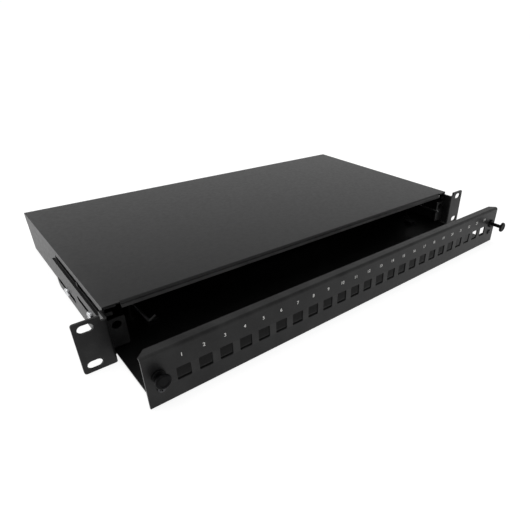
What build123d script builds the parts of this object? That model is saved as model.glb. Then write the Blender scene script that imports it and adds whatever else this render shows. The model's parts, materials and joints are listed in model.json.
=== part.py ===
from build123d import *
import os

# One-unit sliding fibre termination box for a 19-inch rack, in millimetres.
# Origin: centre of the four rack slots, on the rear (mounting) face of the two ears.
# +X runs to the right seen from the front, +Y to the rear, +Z up. The drawer is part open.

# --- rack interface
ear_span = 482.6          # over both ears
slot_pitch_x = 465.1      # rack slot centres, left to right
slot_pitch_z = 31.75      # rack slot centres, lower to upper
slot_length, slot_width = 11.0, 7.0
ear_height = 44.0
ear_t = 2.0

# --- housing
sheet = 1.2               # housing, cover and drawer sheet
box_w = 434.0             # over the side walls
y_mouth = 8.0             # front edge of housing and cover
y_back = 250.0            # rear face of the cover's turned-down flange
z_base, z_top = -22.0, 22.0
bend_r = 2.0              # outer radius of folded edges
flange_w = 10.0           # inward flange that carries the cover
tab_w = 13.8              # front tab that the latch locks into
guide_slot_y = (15.0, 136.0)
guide_slot_h, guide_slot_z = 5.0, 13.5
cover_flange_drop = 13.0
cover_lip_half_w, cover_lip_drop = 203.5, 4.9
cover_lip_flare = 1.9     # how far the lower half of the lip turns out to the front

# --- drawer
drawer_out = 62.2         # how far the drawer stands open as modelled
drawer_more = 53.0        # how much further it can be pulled
ear_gap = 0.3             # closed panel to the front faces of the ears
panel_t = 1.5
panel_half_w = 219.0
panel_z = (-21.1, 21.7)
panel_flange = 9.0        # depth of the folded top edge
panel_corner = 6.0        # chamfer at both rear corners of the folded edge
panel_bend_r = 2.6
tray_half_w = 215.2
tray_z = -20.3            # underside of the drawer floor
tray_flange_half_w = 199.0   # front flange, a little past the outermost ports
wing_half_w = 213.0       # outer face of the drawer's side wings
wing_top = 17.5
stop_gap = 1.8            # wing to front tab at full travel
tray_length = 235.0

# --- ports and latches on the front panel
port_count, port_pitch = 24, 16.7
port_w, port_h, port_z = 10.6, 10.7, -2.35
port_ledge = 1.0          # the tray's front flange shows this much above a port's lower edge
latch_x, latch_z = 209.5, 3.5
plunger_r, plunger_gap = 2.0, 0.05
plunger_head_r, plunger_head_h = 5.6, 2.2
sleeve_r, tab_hole_r = 3.2, 3.7
grommet_flange_r, grommet_flange_h = 4.9, 1.8
plunger_travel = 12.0     # from pulled fully out to home
left_plunger_out = 4.5    # how far each plunger stands out of its sleeve as modelled
right_plunger_out = plunger_travel
panel_screw_r, panel_screw_z = 1.5, -7.5

# --- rear wall
gland_x, plug_x, entry_z = 170.0, 135.0, -6.0
entry_r = 10.25
earth_r = 2.5

# --- fasteners
bracket_screws = ((40.0, -1.0), (111.0, -12.0))   # y, z on each side wall
bracket_screw_r, bracket_nut_r = 2.0, 3.6
cover_screw_x, cover_screw_z, cover_screw_r = 180.0, 15.0, 1.5

# --- derived places
hw = box_w / 2
y_wall = y_back - sheet                 # rear face of the rear wall
floor_top = z_base + sheet
cover_under = z_top - sheet
y_panel = -ear_t - ear_gap - panel_t - drawer_out   # front face of the panel
y_tray = y_panel + panel_t
y_tray_end = y_tray + tray_length
tray_floor = tray_z + sheet
tab_rear = y_mouth + sheet
y_wing = tab_rear + stop_gap + drawer_more
stud_clear = 0.4
y_stud = guide_slot_y[0] + guide_slot_h / 2 + stud_clear + drawer_more
run_gap = 0.05                          # running gap of flat faces that slide


def block(x, y, z):
    """A box given by its lowest and highest place along each axis."""
    return Pos((x[0] + x[1]) / 2, (y[0] + y[1]) / 2, (z[0] + z[1]) / 2) * Box(
        x[1] - x[0], y[1] - y[0], z[1] - z[0])


def rod_x(x, y, z, r):
    return Pos((x[0] + x[1]) / 2, y, z) * Rot(0, 90, 0) * Cylinder(r, x[1] - x[0])


def rod_y(x, y, z, r):
    return Pos(x, (y[0] + y[1]) / 2, z) * Rot(-90, 0, 0) * Cylinder(r, y[1] - y[0])


def rod_z(x, y, z, r):
    return Pos(x, y, (z[0] + z[1]) / 2) * Cylinder(r, z[1] - z[0])


def hex_y(x, y, z, across):
    face = Plane.XZ * RegularPolygon(across / 2, 6, major_radius=False)
    return Pos(x, y[1], z) * extrude(face, y[1] - y[0])


def hex_z(x, y, z, across):
    return Pos(x, y, z[0]) * extrude(RegularPolygon(across / 2, 6, major_radius=False), z[1] - z[0])


def slot_x(x, y, z, height):
    """A round-ended slot cutter through a side wall, long along Y."""
    face = Plane.YZ * SlotOverall(y[1] - y[0], height)
    return Pos(x[0], (y[0] + y[1]) / 2, z) * extrude(face, x[1] - x[0])


def slot_y(x, y, z, length, height):
    """A round-ended slot cutter through an upright plate, long along X."""
    face = Plane.XZ * SlotOverall(length, height)
    return Pos(x, y[1], z) * extrude(face, y[1] - y[0])


def folded(x, points, thickness, outer_r):
    """Sheet folded along the given (y, z) centre line, between two places in X."""
    line = FilletPolyline(*points, radius=outer_r - thickness / 2)
    return Pos(x[0], 0, 0) * extrude(Plane.YZ * trace(line, thickness), x[1] - x[0])


def other_side(shape):
    return mirror(shape, about=Plane.YZ)


def both_sides(shape):
    return shape + other_side(shape)


def group(solids):
    return Compound(children=list(solids))


def save(name, shape):
    export_step(shape, f"parts/{name}.step")


# ------------------------------------------------------------------ housing
def housing_shell():
    """The housing's folded sheet as a whole; the pan and the side channels are parted from it."""
    outer = block((-hw, hw), (y_mouth, y_wall), (z_base, cover_under))
    long_edges = outer.edges().filter_by(Axis.Y).group_by(Axis.Z)[0]
    outer = fillet(long_edges, bend_r)
    inner = block((-hw + sheet, hw - sheet), (y_mouth - 1, y_wall - sheet), (floor_top, z_top))
    inner = fillet(inner.edges().filter_by(Axis.Y).group_by(Axis.Z)[0], bend_r - sheet)
    body = outer - inner
    rear_edge = body.edges().filter_by(Axis.X).group_by(Axis.Y)[-1].group_by(Axis.Z)[-1]
    body = chamfer(rear_edge, sheet - 0.2)
    flange_z = (cover_under - sheet, cover_under)
    side_flange = block((hw - flange_w, hw - sheet / 2), (y_mouth, y_wall - sheet), flange_z)
    body += both_sides(side_flange)
    # the rear flange ends just inside the rear wall, so the two fuse
    return body + block((-hw + flange_w, hw - flange_w), (y_wall - flange_w, y_wall - sheet + 0.1), flange_z)


def channel_space():
    """The space that the right-hand side channel takes out of the housing's sheet."""
    return block((hw - flange_w, hw + 1), (y_mouth - 1, y_wall - sheet), (z_base - 1, z_top))


def housing_base():
    """Pan: the floor and the rear wall, spot-welded between the side channels."""
    wall_y = (y_wall - sheet - 1, y_wall + 1)
    body = housing_shell() - both_sides(channel_space())
    cuts = rod_y(gland_x, wall_y, entry_z, entry_r) + rod_y(plug_x, wall_y, entry_z, entry_r)
    cuts += rod_y(cover_screw_x, wall_y, cover_screw_z, cover_screw_r)
    body -= both_sides(cuts)
    body -= rod_y(0, wall_y, cover_screw_z, cover_screw_r)
    return body - rod_y(0, wall_y, entry_z, earth_r)


def side_channel():
    """Right-hand side wall with its foot, its top flange and the small tab at its upper front corner."""
    body = housing_shell() & channel_space()
    body += block((hw - 6.5, hw - sheet / 2), (y_mouth, tab_rear), (13.4, 16.2))
    wall_x = (hw - sheet - 1, hw + 1)
    body -= slot_x(wall_x, guide_slot_y, guide_slot_z, guide_slot_h)
    for y, z in bracket_screws:
        body -= rod_x(wall_x, y, z, bracket_nut_r - 1.0)
    return body


def latch_tab():
    """Right-hand bracket that the latch locks into: the front tab and its foot on the side wall."""
    wall_in = hw - sheet
    tab_end = hw - sheet / 2 - tab_w
    foot_length, foot_top = 10.0, 8.0
    body = block((tab_end, wall_in), (y_mouth, tab_rear), (-16.0, 9.5))
    body += block((wall_in - sheet, wall_in), (y_mouth, tab_rear + foot_length), (-16.0, foot_top))
    return body - rod_y(latch_x, (y_mouth - 1, tab_rear + 1), latch_z, tab_hole_r)


def top_cover():
    mid = cover_under + sheet / 2
    front, rear = y_mouth + sheet / 2, y_back - sheet / 2
    flare = (front - cover_lip_flare, z_top - cover_lip_drop)
    path = [flare, (front, z_top - 3.0), (front, mid), (rear, mid), (rear, z_top - cover_flange_drop)]
    cover = folded((-cover_lip_half_w, cover_lip_half_w), path, sheet, bend_r)
    plain_edge = [(y_mouth, mid), (rear, mid), (rear, z_top - cover_flange_drop)]
    side = folded((cover_lip_half_w, hw), plain_edge, sheet, bend_r)
    cover += both_sides(side)
    for x in (-cover_screw_x, 0, cover_screw_x):
        cover -= rod_y(x, (y_wall - 1, y_back + 1), cover_screw_z, cover_screw_r)
    return cover


def cover_screws():
    head_h, head_r = 1.9, 2.9
    screws = []
    for x in (-cover_screw_x, 0, cover_screw_x):
        head = rod_y(x, (y_back, y_back + head_h), cover_screw_z, head_r)
        head = fillet(head.edges().group_by(Axis.Y)[-1], 0.9)
        head -= cross_recess_y(x, y_back + head_h, cover_screw_z, 1.1)
        screws.append(head + rod_y(x, (y_back - 6.0, y_back), cover_screw_z, cover_screw_r))
    return group(screws)


def cross_recess_y(x, y_face, z, depth):
    """Cross recess in a screw head that faces +Y."""
    arm, width = 3.4, 0.8
    y = (y_face - depth, y_face + 1)
    return (block((x - arm / 2, x + arm / 2), y, (z - width / 2, z + width / 2))
            + block((x - width / 2, x + width / 2), y, (z - arm / 2, z + arm / 2)))


def ear_bracket():
    """Right-hand ear: the plate with its rack slots and the arm along the side wall."""
    arm_top = 9.0
    plate = block((hw, ear_span / 2), (-ear_t, 0), (-ear_height / 2, ear_height / 2))
    plate = fillet(plate.edges().filter_by(Axis.Y).group_by(Axis.X)[-1], 2.0)
    arm = block((hw, hw + ear_t), (-ear_t, 148.0), (-ear_height / 2, arm_top))
    arm = chamfer(arm.edges().filter_by(Axis.X).group_by(Axis.Y)[-1], 3.0)
    # the bend runs up to the relief that the panel's folded edge needs when the drawer is shut
    bend_top, riser_lap = 18.0, 4.0   # the riser laps this far over the housing wall
    riser = block((hw, hw + ear_t), (-ear_t, y_mouth + riser_lap), (arm_top, bend_top))
    notch = block((hw - 1, panel_half_w + 2.5), (-ear_t - 1, 1), (bend_top, ear_height))
    ear = plate - notch + arm + riser
    fold = ear.edges().filter_by(Axis.Z).filter_by_position(Axis.X, hw - 0.1, hw + 0.1)
    ear = fillet(fold.group_by(Axis.Y)[0], ear_t)
    for side in (-1, 1):
        ear -= slot_y(slot_pitch_x / 2, (-ear_t - 1, 1), side * slot_pitch_z / 2, slot_length, slot_width)
    cut_x = (hw - 1, hw + ear_t + 1)
    ear -= slot_x(cut_x, (35.0, 76.0), bracket_screws[0][1], 2 * bracket_screw_r + 0.6)
    ear -= slot_x(cut_x, (88.0, 143.0), bracket_screws[1][1], 2 * bracket_screw_r + 0.6)
    return ear


def bracket_screw_pair():
    """Pan head screws through the right-hand arm into the nuts of the side wall."""
    head_h, head_r = 2.4, 4.0
    screws = []
    for y, z in bracket_screws:
        x0 = hw + ear_t
        head = rod_x((x0, x0 + head_h), y, z, head_r)
        head = fillet(head.edges().group_by(Axis.X)[-1], 1.2)
        x_cut = (x0 + head_h - 1.2, x0 + head_h + 1)
        head -= block(x_cut, (y - 2.2, y + 2.2), (z - 0.45, z + 0.45))
        head -= block(x_cut, (y - 0.45, y + 0.45), (z - 2.2, z + 2.2))
        screws.append(head + rod_x((hw - 3.0, x0), y, z, bracket_screw_r))
    return group(screws)


def clinch_nut_pair():
    """Nuts pressed into the right-hand side wall, flush outside."""
    nuts = []
    for y, z in bracket_screws:
        nut = rod_x((hw - sheet - 2.0, hw - sheet), y, z, bracket_nut_r)
        nut += rod_x((hw - sheet, hw), y, z, bracket_nut_r - 1.0)
        nuts.append(nut - rod_x((hw - 5, hw + 1), y, z, bracket_screw_r))
    return group(nuts)


def glide_strips():
    top = tray_z - run_gap
    strip = block((140.0, 165.0), (12.0, 236.0), (floor_top, top))
    return group([strip, other_side(strip)])


# ------------------------------------------------------------------ rear wall fittings
def gland_body():
    body = hex_y(gland_x, (y_wall, y_wall + 8.0), entry_z, 24.0)
    body += rod_y(gland_x, (y_wall - sheet - 9.0, y_wall), entry_z, entry_r - 0.05)
    body += rod_y(gland_x, (y_wall + 8.0, y_wall + 17.0), entry_z, 9.4)
    body -= rod_y(gland_x, (y_wall - sheet - 10.0, y_wall + 8.0), entry_z, 6.2)
    return body - rod_y(gland_x, (y_wall + 8.0, y_wall + 18.0), entry_z, 7.6)


def gland_lock_nut():
    y_face = y_wall - sheet
    nut = hex_y(gland_x, (y_face - 5.0, y_face), entry_z, 24.0)
    return nut - rod_y(gland_x, (y_face - 6.0, y_face + 1), entry_z, entry_r - 0.05)


def gland_dome_nut():
    y0 = y_wall + 8.5
    nut = hex_y(gland_x, (y0, y0 + 9.0), entry_z, 23.0)
    dome = Pos(gland_x, y0 + 12.0, entry_z) * Rot(-90, 0, 0) * Cone(11.5, 8.6, 6.0)
    nut += dome
    nut -= rod_y(gland_x, (y0 - 1, y_wall + 19.0), entry_z, 9.4)
    return nut - rod_y(gland_x, (y_wall + 18.0, y0 + 16.0), entry_z, 6.4)


def gland_seal():
    y0 = y_wall + 8.0
    seal = rod_y(gland_x, (y0, y0 + 11.0), entry_z, 7.6)
    return seal - rod_y(gland_x, (y0 - 1, y0 + 12.0), entry_z, 5.0)


def blanking_plug():
    plug = rod_y(plug_x, (y_wall, y_wall + 3.0), entry_z, 12.5)
    plug = fillet(plug.edges().group_by(Axis.Y)[-1], 1.5)
    plug += rod_y(plug_x, (y_wall - sheet - 6.0, y_wall), entry_z, entry_r - 0.05)
    return plug - rod_y(plug_x, (y_wall - sheet - 7.0, y_wall - 1.0), entry_z, entry_r - 1.5)


def earth_stud():
    stud = rod_y(0, (y_wall - sheet, y_wall + 16.0), entry_z, earth_r)
    stud = chamfer(stud.edges().group_by(Axis.Y)[-1], 0.5)
    return stud + rod_y(0, (y_wall - sheet - 2.0, y_wall - sheet), entry_z, 4.0)


def earth_nut_set():
    washer = rod_y(0, (y_wall, y_wall + 1.0), entry_z, 5.0)
    washer -= rod_y(0, (y_wall - 1, y_wall + 2), entry_z, earth_r)
    nut = hex_y(0, (y_wall + 1.0, y_wall + 5.0), entry_z, 8.0)
    return group([washer, nut - rod_y(0, (y_wall, y_wall + 6), entry_z, earth_r)])


# ------------------------------------------------------------------ drawer
def drawer_tray():
    floor = block((-tray_half_w, tray_half_w), (y_tray, y_tray_end), (tray_z, tray_floor))
    floor -= both_sides(block((wing_half_w, tray_half_w + 1), (y_wing, y_tray_end + 1), (tray_z - 1, 0)))
    wing = block((wing_half_w - sheet, wing_half_w), (y_wing, y_tray_end), (tray_z, wing_top))
    upper = wing.edges().filter_by(Axis.X).group_by(Axis.Z)[-1]
    wing = fillet(upper, 8.0)
    wing -= rod_x((wing_half_w - 3, wing_half_w + 1), y_stud, guide_slot_z, 2.1)
    back = block((-wing_half_w, wing_half_w), (y_tray_end - sheet, y_tray_end), (tray_z, -7.0))
    back -= both_sides(block((120.0, 195.0), (y_tray_end - 3, y_tray_end + 1), (-13.0, 0)))
    ledge_top = port_z - port_h / 2 + port_ledge
    front = block((-tray_flange_half_w, tray_flange_half_w), (y_tray, y_tray + sheet),
                  (tray_z, ledge_top))
    lug = block((201.0, wing_half_w), (y_tray, y_tray + sheet), (tray_z, panel_screw_z + 4.5))
    lug -= rod_y(latch_x, (y_tray - 1, y_tray + sheet + 1), panel_screw_z, panel_screw_r)
    tray = floor + both_sides(wing + lug) + back + front
    for x, y in tray_stud_places():
        tray -= rod_z(x, y, (tray_z - 1, tray_floor + 1), 2.0)
    for x, y in saddle_places():
        tray -= rod_z(x, y, (tray_z - 1, tray_floor + 1), 2.0)
    tray -= both_sides(rod_z(hook_x, hook_rear_y, (tray_z - 1, tray_floor + 1), 1.6))
    return tray


def front_panel():
    mid = panel_t / 2
    rear = y_panel + panel_flange
    path = [(rear, panel_z[1] - mid), (y_panel + mid, panel_z[1] - mid), (y_panel + mid, panel_z[0])]
    panel = folded((-panel_half_w, panel_half_w), path, panel_t, panel_bend_r)
    corners = panel.edges().filter_by(Axis.Z).group_by(Axis.Y)[-1]
    panel = chamfer(corners, panel_corner)
    cut_y = (y_panel - 1, y_tray + 1)
    for number in range(port_count):
        x = port_x(number)
        port = block((x - port_w / 2, x + port_w / 2), cut_y, (port_z - port_h / 2, port_z + port_h / 2))
        panel -= fillet(port.edges().filter_by(Axis.Y), 0.8)
    for x in (-latch_x, latch_x):
        panel -= rod_y(x, cut_y, latch_z, sleeve_r)
        panel -= rod_y(x, cut_y, panel_screw_z, panel_screw_r + 0.2)
    return panel


def panel_screws():
    """Pan-head screws that hold the panel to the lugs of the tray, one below each latch."""
    head_h, head_r = 1.7, 2.9
    screws = []
    for x in (-latch_x, latch_x):
        head = rod_y(x, (y_panel - head_h, y_panel), panel_screw_z, head_r)
        head = fillet(head.edges().group_by(Axis.Y)[0], 0.9)
        head -= cross_recess_y(x, y_panel - head_h + 1.0, panel_screw_z, 2.0)
        screws.append(head + rod_y(x, (y_panel, y_tray + sheet + 2.5), panel_screw_z, panel_screw_r))
    return group(screws)


def port_x(number):
    return (number - (port_count - 1) / 2) * port_pitch


def guide_stud():
    """Right-hand stud, riveted in the wing, that runs in the long slot of the side wall."""
    shank = rod_x((wing_half_w - sheet, hw + 0.6), y_stud, guide_slot_z, 2.1)
    head = rod_x((wing_half_w - sheet - 1.4, wing_half_w - sheet), y_stud, guide_slot_z, 3.6)
    collar = rod_x((wing_half_w, wing_half_w + 1.6), y_stud, guide_slot_z, 3.6)
    return shank + fillet(head.edges().group_by(Axis.X)[0], 0.6) + collar


def latch_grommet():
    """Right-hand latch sleeve, snapped into the panel: flange, sleeve and two split legs."""
    flange = rod_y(latch_x, (y_panel - grommet_flange_h, y_panel), latch_z, grommet_flange_r)
    flange = fillet(flange.edges().group_by(Axis.Y)[0], 0.7)
    sleeve = rod_y(latch_x, (y_panel, y_tray + 13.0), latch_z, sleeve_r)
    sleeve = chamfer(sleeve.edges().group_by(Axis.Y)[-1], 0.6)
    body = flange + sleeve
    body -= rod_y(latch_x, (y_panel - 3, y_tray + 14), latch_z, plunger_r + plunger_gap)
    split = block((latch_x - 0.5, latch_x + 0.5), (y_tray + 4.0, y_tray + 14), (latch_z - 4, latch_z + 4))
    return body - split


def latch_plunger(out):
    """Right-hand plunger, standing out of its sleeve; its tip reaches the tab when it is home."""
    seat = y_panel - grommet_flange_h - 0.4 - out
    tip = y_tray + 3.5 + plunger_travel - out
    head = rod_y(latch_x, (seat - plunger_head_h, seat), latch_z, plunger_head_r)
    head = fillet(head.edges().group_by(Axis.Y)[0], 1.2)
    head -= rod_y(latch_x, (seat - 3, seat - 1.9), latch_z, 3.4)
    # a short thick neck that ends short of the sleeve when the plunger is home
    neck = rod_y(latch_x, (seat, seat + 0.3), latch_z, 3.0)
    return head + neck + rod_y(latch_x, (seat, tip), latch_z, plunger_r)


# ------------------------------------------------------------------ inside the drawer
cassette_w, cassette_d, cassette_h = 176.0, 104.0, 9.0
cassette_y = 60.0
cassette_z = tray_floor + 3.0
cassette_wall = 1.6
cassette_count = 2
stack_top = cassette_z + cassette_count * cassette_h
cassette_stud_r = 2.0
hook_x, hook_rear_y, hook_front_y, hook_z, hook_wire_r = 189.0, 44.0, -3.5, 4.0, 1.2


def tray_stud_places():
    return [(side * (cassette_w / 2 - 20.0), cassette_y + cassette_d / 2) for side in (-1, 1)]


def saddle_places():
    return [(side * x, y) for side in (-1, 1) for x, y in ((177.0, 29.5), (150.0, 120.0))]


def rounded_plate(z, inset, corner):
    face = RectangleRounded(cassette_w - 2 * inset, cassette_d - 2 * inset, corner)
    return Pos(0, cassette_y + cassette_d / 2, z[0]) * extrude(face, z[1] - z[0])


def splice_cassette(level):
    """Open tray for twelve splices, with fibre ports at both front corners."""
    z0 = cassette_z + level * cassette_h
    z1 = z0 + cassette_h
    body = rounded_plate((z0, z1), 0, 16.0)
    body -= rounded_plate((z0 + cassette_wall, z1 + 1), cassette_wall, 16.0 - cassette_wall)
    mid_y = cassette_y + cassette_d / 2
    for x in (-46.0, 46.0):
        ring = rod_z(x, mid_y, (z0, z1 - 0.6), 17.0) - rod_z(x, mid_y, (z0 + cassette_wall, z1 + 1), 15.4)
        body += ring
    for x, y in tray_stud_places():
        boss = rod_z(x, y, (z0, z1), 4.5)
        body += boss
        body -= rod_z(x, y, (z0 - 1, z1 + 1), cassette_stud_r + 0.3)
    mouth = block((55.0, 67.0), (cassette_y - 1, cassette_y + 3), (z0 + cassette_wall, z1 + 1))
    return body - both_sides(mouth)


def splice_holder(level):
    """Comb of twelve grooves that grips the splice sleeves."""
    z0 = cassette_z + level * cassette_h + cassette_wall
    mid_y = cassette_y + cassette_d / 2
    height, length, grooves, pitch = 5.6, 22.0, 12, 3.6
    width = grooves * pitch + 2.4
    comb = block((-length / 2, length / 2), (mid_y - width / 2, mid_y + width / 2), (z0, z0 + height))
    for groove in range(grooves):
        y = mid_y + (groove - (grooves - 1) / 2) * pitch
        comb -= block((-length, length), (y - 1.2, y + 1.2), (z0 + 1.6, z0 + height + 1))
    return comb


def cassette_lid():
    lid = rounded_plate((stack_top, stack_top + cassette_wall), 0, 16.0)
    for x, y in tray_stud_places():
        lid -= rod_z(x, y, (stack_top - 1, stack_top + 3), cassette_stud_r + 0.3)
    notch = block((84.0, cassette_w), (cassette_y + 40.0, cassette_y + 64.0), (stack_top - 1, stack_top + 3))
    return lid - both_sides(notch)


def cassette_studs():
    studs = []
    for x, y in tray_stud_places():
        stud = rod_z(x, y, (tray_z, stack_top + 7.0), cassette_stud_r)
        studs.append(stud + rod_z(x, y, (tray_floor, cassette_z), 4.0))
    return group(studs)


def cassette_nuts():
    z = (stack_top + cassette_wall, stack_top + cassette_wall + 3.2)
    nuts = []
    for x, y in tray_stud_places():
        nuts.append(hex_z(x, y, z, 7.0) - rod_z(x, y, (z[0] - 1, z[1] + 1), cassette_stud_r))
    return group(nuts)


def fiber_hook():
    """Right-hand wire guide: it stands on the drawer floor and turns inward at its tip."""
    foot = tray_z + 0.4
    path = FilletPolyline(
        (hook_x, hook_rear_y, foot),
        (hook_x, hook_rear_y, hook_z),
        (hook_x, hook_front_y, hook_z),
        (hook_x - 5.5, hook_front_y - 0.5, hook_z + 3.5),
        radius=2.6)
    wire = sweep(Plane(path @ 0, z_dir=path % 0) * Circle(hook_wire_r), path=path)
    nut = rod_z(hook_x, hook_rear_y, (tray_floor, tray_floor + 2.4), 4.0)
    pin = rod_z(hook_x, hook_rear_y, (tray_z + 0.1, tray_floor), 1.55)
    return wire + nut + pin


def tie_saddles():
    saddles = []
    for x, y in saddle_places():
        base = block((x - 5.5, x + 5.5), (y - 5.5, y + 5.5), (tray_floor, tray_floor + 4.6))
        base = fillet(base.edges().filter_by(Axis.Z), 2.0)
        base = fillet(base.edges().group_by(Axis.Z)[-1], 1.0)
        z = (tray_floor + 1.6, tray_floor + 3.2)
        base -= block((x - 8, x + 8), (y - 2.6, y + 2.6), z)
        base -= block((x - 2.6, x + 2.6), (y - 8, y + 8), z)
        saddles.append(base + rod_z(x, y, (tray_z + 0.1, tray_floor), 1.95))
    return group(saddles)


def sleeve_clamp():
    """Clamp bar for the cables' strength members, across the rear of the drawer floor."""
    y0 = y_tray_end - 30.0
    bar = block((100.0, 196.0), (y0, y0 + 10.0), (tray_floor + 3.0, tray_floor + 6.0))
    for x in ((100.0, 106.0), (190.0, 196.0)):
        bar += block(x, (y0, y0 + 10.0), (tray_floor, tray_floor + 3.0))
    return group([bar, other_side(bar)])


os.makedirs("parts", exist_ok=True)
save("housing_base", housing_base())
save("top_cover", top_cover())
save("cover_screws", cover_screws())
for name, make in (
        ("side_channel", side_channel),
        ("latch_tab", latch_tab),
        ("ear_bracket", ear_bracket),
        ("bracket_screws", bracket_screw_pair),
        ("clinch_nuts", clinch_nut_pair),
        ("cable_gland_body", gland_body),
        ("cable_gland_lock_nut", gland_lock_nut),
        ("cable_gland_dome_nut", gland_dome_nut),
        ("cable_gland_seal", gland_seal),
        ("blanking_plug", blanking_plug),
        ("guide_stud", guide_stud),
        ("latch_grommet", latch_grommet),
        ("fiber_hook", fiber_hook)):
    right = make()
    save(f"right_{name}", right)
    save(f"left_{name}", other_side(right))
save("right_latch_plunger", latch_plunger(right_plunger_out))
save("left_latch_plunger", other_side(latch_plunger(left_plunger_out)))
save("glide_strips", glide_strips())
save("earth_stud", earth_stud())
save("earth_nut_and_washer", earth_nut_set())
save("drawer_tray", drawer_tray())
save("front_panel", front_panel())
save("panel_screws", panel_screws())
for level, place in enumerate(("lower", "upper")):
    save(f"{place}_splice_cassette", splice_cassette(level))
    save(f"{place}_splice_holder", splice_holder(level))
save("cassette_lid", cassette_lid())
save("cassette_studs", cassette_studs())
save("cassette_nuts", cassette_nuts())
save("cable_tie_saddles", tie_saddles())
save("strength_member_clamps", sleeve_clamp())
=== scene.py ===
import json
import math

import bmesh
import bpy
from mathutils import Matrix, Vector


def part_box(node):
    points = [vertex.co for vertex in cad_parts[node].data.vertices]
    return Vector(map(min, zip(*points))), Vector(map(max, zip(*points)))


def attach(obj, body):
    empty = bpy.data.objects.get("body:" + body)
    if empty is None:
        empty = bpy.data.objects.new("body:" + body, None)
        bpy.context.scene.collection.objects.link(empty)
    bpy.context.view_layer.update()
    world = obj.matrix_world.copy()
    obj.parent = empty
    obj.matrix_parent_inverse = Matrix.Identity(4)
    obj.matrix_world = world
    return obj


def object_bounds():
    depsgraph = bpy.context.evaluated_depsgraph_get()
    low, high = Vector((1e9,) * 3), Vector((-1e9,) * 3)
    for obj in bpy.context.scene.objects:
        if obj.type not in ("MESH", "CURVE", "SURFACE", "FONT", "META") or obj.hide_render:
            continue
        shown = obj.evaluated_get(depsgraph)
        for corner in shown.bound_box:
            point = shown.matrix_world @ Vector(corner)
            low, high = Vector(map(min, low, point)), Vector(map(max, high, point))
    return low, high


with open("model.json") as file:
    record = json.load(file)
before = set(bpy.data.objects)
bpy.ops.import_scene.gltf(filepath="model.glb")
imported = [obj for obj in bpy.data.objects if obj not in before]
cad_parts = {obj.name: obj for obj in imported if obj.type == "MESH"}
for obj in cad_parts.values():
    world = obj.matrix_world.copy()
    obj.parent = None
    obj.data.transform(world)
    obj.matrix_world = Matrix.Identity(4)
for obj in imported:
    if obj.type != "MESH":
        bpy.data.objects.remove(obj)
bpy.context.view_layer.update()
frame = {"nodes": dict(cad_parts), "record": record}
nodes = frame["nodes"]
MM = 0.001

# most of a noise texture's values lie between these
NOISE_LOW, NOISE_HIGH = 0.3, 0.7
# pointiness at which an outer edge starts to look rubbed, and at which it is fully rubbed
EDGE_START, EDGE_FULL = 0.54, 0.68
# texture scales, in features per metre
COAT_MOTTLE, COAT_SHEEN, COAT_PEEL, COAT_RUBS = 650, 260, 1100, 70
METAL_GRAIN, PLASTIC_TONE, PLASTIC_SHEEN, PLASTIC_GRAIN = 420, 120, 220, 1500
INK_TONE, INK_SHEEN = 900, 500
COAT_RELIEF, METAL_RELIEF, PLASTIC_RELIEF = 0.03 * MM, 0.02 * MM, 0.03 * MM

PORT_COUNT, PORT_PITCH = 24, 16.7 * MM
NUMERAL_HEIGHT, NUMERAL_Z = 3.0 * MM, 12.3 * MM
FONT_SIZE_PER_HEIGHT = 1.38
INK_THICKNESS, INK_WEIGHT = 0.04 * MM, 0.04 * MM

FLOOR_HALF_SIZE, FLOOR_GAP = 20.0, 0.2 * MM
FLOOR_GREY, FLOOR_GLOW = 0.35, 0.8
# the room's light, between these heights of the view direction above the horizon
ROOM_LOW, ROOM_HIGH = 0.06, 0.55
LIGHT_LOW, LIGHT_HIGH = 1.02, 0.66

CAMERA_LENS, CAMERA_SENSOR = 29.77, 36.0
CAMERA_SHIFT = (-0.108, 0.0362)
CAMERA_EYE = Vector((-0.27872, -0.29628, 0.20386))
CAMERA_RIGHT = Vector((0.74496, -0.66655, 0.02748))
CAMERA_AHEAD = Vector((0.58546, 0.63346, -0.50593))


# ------------------------------------------------------------------ materials
def new_material(name):
    material = bpy.data.materials.new(name)
    material.use_nodes = True
    tree = material.node_tree
    return material, tree, tree.nodes["Principled BSDF"]


def surface_point(tree, stretch=(1, 1, 1)):
    """The object's own coordinates in metres, stretched to draw a texture out into a grain."""
    coords = tree.nodes.new("ShaderNodeTexCoord")
    mapping = tree.nodes.new("ShaderNodeMapping")
    mapping.inputs["Scale"].default_value = stretch
    tree.links.new(coords.outputs["Object"], mapping.inputs["Vector"])
    return mapping.outputs["Vector"]


def noise(tree, scale, detail=3.0, stretch=(1, 1, 1)):
    texture = tree.nodes.new("ShaderNodeTexNoise")
    texture.inputs["Scale"].default_value = scale
    texture.inputs["Detail"].default_value = detail
    tree.links.new(surface_point(tree, stretch), texture.inputs["Vector"])
    return texture.outputs["Fac"]


def cells(tree, scale):
    """Rounded cells, the height pattern of orange peel and of a spark-eroded mould."""
    texture = tree.nodes.new("ShaderNodeTexVoronoi")
    texture.feature = "SMOOTH_F1"
    texture.inputs["Scale"].default_value = scale
    tree.links.new(surface_point(tree), texture.inputs["Vector"])
    return texture.outputs["Distance"]


def spread(tree, value, low, high):
    """Maps the middle of a noise value's range onto low..high."""
    node = tree.nodes.new("ShaderNodeMapRange")
    node.inputs["From Min"].default_value = NOISE_LOW
    node.inputs["From Max"].default_value = NOISE_HIGH
    node.inputs["To Min"].default_value = low
    node.inputs["To Max"].default_value = high
    tree.links.new(value, node.inputs["Value"])
    return node.outputs["Result"]


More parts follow.
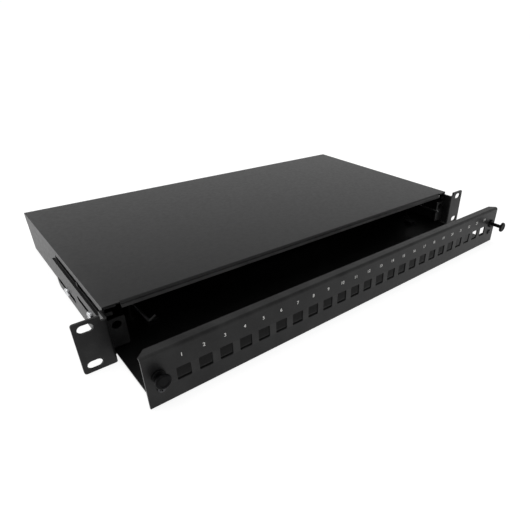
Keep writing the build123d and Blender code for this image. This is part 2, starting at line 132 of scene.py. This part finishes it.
def two_tone(tree, factor, first, second):
    mix = tree.nodes.new("ShaderNodeMix")
    mix.data_type = "RGBA"
    # the colour sockets carry the same names as the number ones, so they are found by type
    colours = [socket for socket in mix.inputs if socket.type == "RGBA"]
    for socket, colour in zip(colours, (first, second)):
        if isinstance(colour, tuple):
            socket.default_value = (*colour, 1)
        else:
            tree.links.new(colour, socket)
    tree.links.new(factor, mix.inputs["Factor"])
    return next(socket for socket in mix.outputs if socket.type == "RGBA")


def bump(tree, shader, height, distance, strength):
    node = tree.nodes.new("ShaderNodeBump")
    node.inputs["Distance"].default_value = distance
    node.inputs["Strength"].default_value = strength
    tree.links.new(height, node.inputs["Height"])
    tree.links.new(node.outputs["Normal"], shader.inputs["Normal"])


def worn_edges(tree, spot_scale):
    """1 on sharp outer edges where handling has polished the surface, broken up by a noise."""
    geometry = tree.nodes.new("ShaderNodeNewGeometry")
    sharp = tree.nodes.new("ShaderNodeMapRange")
    sharp.inputs["From Min"].default_value = EDGE_START
    sharp.inputs["From Max"].default_value = EDGE_FULL
    tree.links.new(geometry.outputs["Pointiness"], sharp.inputs["Value"])
    product = tree.nodes.new("ShaderNodeMath")
    product.operation = "MULTIPLY"
    tree.links.new(sharp.outputs["Result"], product.inputs[0])
    tree.links.new(spread(tree, noise(tree, spot_scale), 0.0, 1.0), product.inputs[1])
    return product.outputs["Value"]


def powder_coat(name, base=0.004, rough=(0.36, 0.42), gloss=0.2, peel=0.5):
    """Black satin powder coat: fine orange peel, faint mottling, edges rubbed a little lighter."""
    material, tree, shader = new_material(name)
    shader.inputs["Specular IOR Level"].default_value = gloss
    mottle = spread(tree, noise(tree, COAT_MOTTLE), 0, 1)
    grey = two_tone(tree, mottle, (base * 0.7,) * 3, (base * 1.35, base * 1.35, base * 1.45))
    rubbed = two_tone(tree, worn_edges(tree, COAT_RUBS), grey, (base * 5,) * 3)
    tree.links.new(rubbed, shader.inputs["Base Color"])
    tree.links.new(spread(tree, noise(tree, COAT_SHEEN, 4), *rough), shader.inputs["Roughness"])
    bump(tree, shader, cells(tree, COAT_PEEL), COAT_RELIEF, peel)
    return material


def metal(name, dark, light, rough, stretch=(1, 1, 1)):
    """Plated steel: drawn grain in colour and roughness."""
    material, tree, shader = new_material(name)
    shader.inputs["Metallic"].default_value = 1.0
    grain = noise(tree, METAL_GRAIN, 4, stretch)
    tree.links.new(two_tone(tree, spread(tree, grain, 0, 1), dark, light), shader.inputs["Base Color"])
    tree.links.new(spread(tree, grain, *rough), shader.inputs["Roughness"])
    bump(tree, shader, grain, METAL_RELIEF, 0.35)
    return material


def moulded(name, dark, light, rough, gloss=0.3, grain=PLASTIC_GRAIN):
    """Moulded plastic or rubber with a spark-eroded texture."""
    material, tree, shader = new_material(name)
    shader.inputs["Specular IOR Level"].default_value = gloss
    tone = spread(tree, noise(tree, PLASTIC_TONE), 0, 1)
    tree.links.new(two_tone(tree, tone, dark, light), shader.inputs["Base Color"])
    tree.links.new(spread(tree, noise(tree, PLASTIC_SHEEN), *rough), shader.inputs["Roughness"])
    bump(tree, shader, cells(tree, grain), PLASTIC_RELIEF, 0.4)
    return material


MATERIALS = {
    "powder_coat_housing": powder_coat("powder_coat_housing"),
    "powder_coat_cover": powder_coat("powder_coat_cover", gloss=0.22),
    # painted shade: the drawer's copy of the black coat has a base over four times darker than the
    # housing's, so the shaded tray interior stays nearly black
    "powder_coat_drawer": powder_coat("powder_coat_drawer", base=0.0009, gloss=0.2),
    "powder_coat_panel": powder_coat("powder_coat_panel", gloss=0.19, peel=0.7),
    "powder_coat_ears": powder_coat("powder_coat_ears"),
    "zinc_steel": metal("zinc_steel",
        (0.55, 0.56, 0.58), (0.8, 0.81, 0.82), (0.2, 0.34), (1, 6, 1)),
    "black_zinc": metal("black_zinc",
        (0.03, 0.03, 0.032), (0.07, 0.07, 0.075), (0.25, 0.4)),
    "black_wire": moulded("black_wire",
        (0.003, 0.003, 0.003), (0.006, 0.006, 0.0065), (0.3, 0.42), gloss=0.2),
    "black_nylon": moulded("black_nylon",
        (0.0016, 0.0016, 0.0018), (0.0036, 0.0036, 0.004), (0.34, 0.44), gloss=0.055),
    "glide_plastic": moulded("glide_plastic",
        (0.38, 0.38, 0.36), (0.5, 0.5, 0.48), (0.4, 0.52)),
    "cassette_plastic": moulded("cassette_plastic",
        (0.005, 0.005, 0.0055), (0.010, 0.010, 0.011), (0.38, 0.5)),
    "cassette_lid_plastic": moulded("cassette_lid_plastic",
        (0.006, 0.006, 0.0065), (0.012, 0.012, 0.013), (0.2, 0.3)),
    "holder_foam": moulded("holder_foam",
        (0.09, 0.09, 0.10), (0.16, 0.16, 0.17), (0.6, 0.75), grain=900),
    "gland_rubber": moulded("gland_rubber",
        (0.008, 0.008, 0.008), (0.016, 0.016, 0.016), (0.6, 0.7)),
}
for entry in frame["record"]["subparts"]:
    for slot in nodes[entry["node"]].material_slots:
        slot.material = MATERIALS[entry["material_slot"]]


# ------------------------------------------------------------------ port numerals
def port_numerals():
    """White printed numerals 1 to 24, one above each port of the panel."""
    panel_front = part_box("front_panel")[0].y
    material, tree, shader = new_material("white_ink")
    tone = spread(tree, noise(tree, INK_TONE), 0, 1)
    off_white = two_tone(tree, tone, (0.42, 0.42, 0.41), (0.58, 0.58, 0.56))
    tree.links.new(off_white, shader.inputs["Base Color"])
    tree.links.new(spread(tree, noise(tree, INK_SHEEN), 0.5, 0.65), shader.inputs["Roughness"])
    whole = bmesh.new()
    for number in range(PORT_COUNT):
        curve = bpy.data.curves.new("numeral", "FONT")
        curve.body = str(number + 1)
        curve.size = NUMERAL_HEIGHT * FONT_SIZE_PER_HEIGHT
        curve.align_x = "CENTER"
        curve.align_y = "CENTER"
        curve.extrude = INK_THICKNESS / 2
        curve.offset = INK_WEIGHT
        text = bpy.data.objects.new("numeral", curve)
        bpy.context.scene.collection.objects.link(text)
        bpy.context.view_layer.update()
        mesh = bpy.data.meshes.new_from_object(text)
        across = (number - (PORT_COUNT - 1) / 2) * PORT_PITCH
        place = Vector((across, panel_front - INK_THICKNESS, NUMERAL_Z))
        mesh.transform(Matrix.Translation(place) @ Matrix.Rotation(math.radians(90), 4, "X"))
        whole.from_mesh(mesh)
        bpy.data.objects.remove(text)
        bpy.data.meshes.remove(mesh)
    mesh = bpy.data.meshes.new("port_numerals")
    whole.to_mesh(mesh)
    whole.free()
    piece = bpy.data.objects.new("port_numerals", mesh)
    mesh.materials.append(material)
    bpy.context.scene.collection.objects.link(piece)
    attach(piece, "drawer")


port_numerals()


# ------------------------------------------------------------------ stage
def stage_floor():
    """A plain pale floor that gives off some light, so the object's shadow on it stays faint."""
    size = FLOOR_HALF_SIZE
    corners = [(-size, -size, 0), (size, -size, 0), (size, size, 0), (-size, size, 0)]
    mesh = bpy.data.meshes.new("floor")
    mesh.from_pydata(corners, [], [(0, 1, 2, 3)])
    floor = bpy.data.objects.new("floor", mesh)
    floor.location.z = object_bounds()[0].z - FLOOR_GAP
    bpy.context.scene.collection.objects.link(floor)
    material, tree, shader = new_material("pale_floor")
    shader.inputs["Base Color"].default_value = (FLOOR_GREY, FLOOR_GREY, FLOOR_GREY, 1)
    shader.inputs["Roughness"].default_value = 0.9
    shader.inputs["Specular IOR Level"].default_value = 0.0
    shader.inputs["Emission Color"].default_value = (1, 1, 1, 1)
    shader.inputs["Emission Strength"].default_value = FLOOR_GLOW
    mesh.materials.append(material)


def studio_world():
    """An even white room: full white at the horizon, a little dimmer overhead."""
    world = bpy.data.worlds.new("studio")
    world.use_nodes = True
    bpy.context.scene.world = world
    tree = world.node_tree
    room = tree.nodes["Background"]
    room.inputs["Color"].default_value = (1, 1, 1, 1)
    coords = tree.nodes.new("ShaderNodeTexCoord")
    axes = tree.nodes.new("ShaderNodeSeparateXYZ")
    ramp = tree.nodes.new("ShaderNodeMapRange")
    ramp.interpolation_type = "SMOOTHSTEP"
    ramp.inputs["From Min"].default_value = ROOM_LOW
    ramp.inputs["From Max"].default_value = ROOM_HIGH
    ramp.inputs["To Min"].default_value = LIGHT_LOW
    ramp.inputs["To Max"].default_value = LIGHT_HIGH
    tree.links.new(coords.outputs["Generated"], axes.inputs["Vector"])
    tree.links.new(axes.outputs["Z"], ramp.inputs["Value"])
    tree.links.new(ramp.outputs["Result"], room.inputs["Strength"])


def softbox(name, place, target, size, power):
    """A rectangular area light at a place, aimed at a target."""
    data = bpy.data.lights.new(name, "AREA")
    data.shape = "RECTANGLE"
    data.size, data.size_y = size
    data.energy = power
    light = bpy.data.objects.new(name, data)
    light.location = place
    light.rotation_euler = (Vector(target) - Vector(place)).to_track_quat("-Z", "Y").to_euler()
    light.visible_camera = False
    bpy.context.scene.collection.objects.link(light)


def camera():
    """A camera at the left of the box, above it, looking down at the half-open drawer."""
    data = bpy.data.cameras.new("camera")
    data.sensor_width = CAMERA_SENSOR
    data.lens = CAMERA_LENS
    data.shift_x, data.shift_y = CAMERA_SHIFT
    view = bpy.data.objects.new("camera", data)
    up = CAMERA_RIGHT.cross(CAMERA_AHEAD)
    view.matrix_world = Matrix((CAMERA_RIGHT, up, -CAMERA_AHEAD)).transposed().to_4x4()
    view.location = CAMERA_EYE
    bpy.context.scene.collection.objects.link(view)
    bpy.context.scene.camera = view


stage_floor()
studio_world()
softbox("overhead", (-0.5, 0.2, 1.4), (0, 0.1, 0), (1.2, 1.0), 5.0)
camera()
bpy.context.scene.view_settings.view_transform = "Standard"
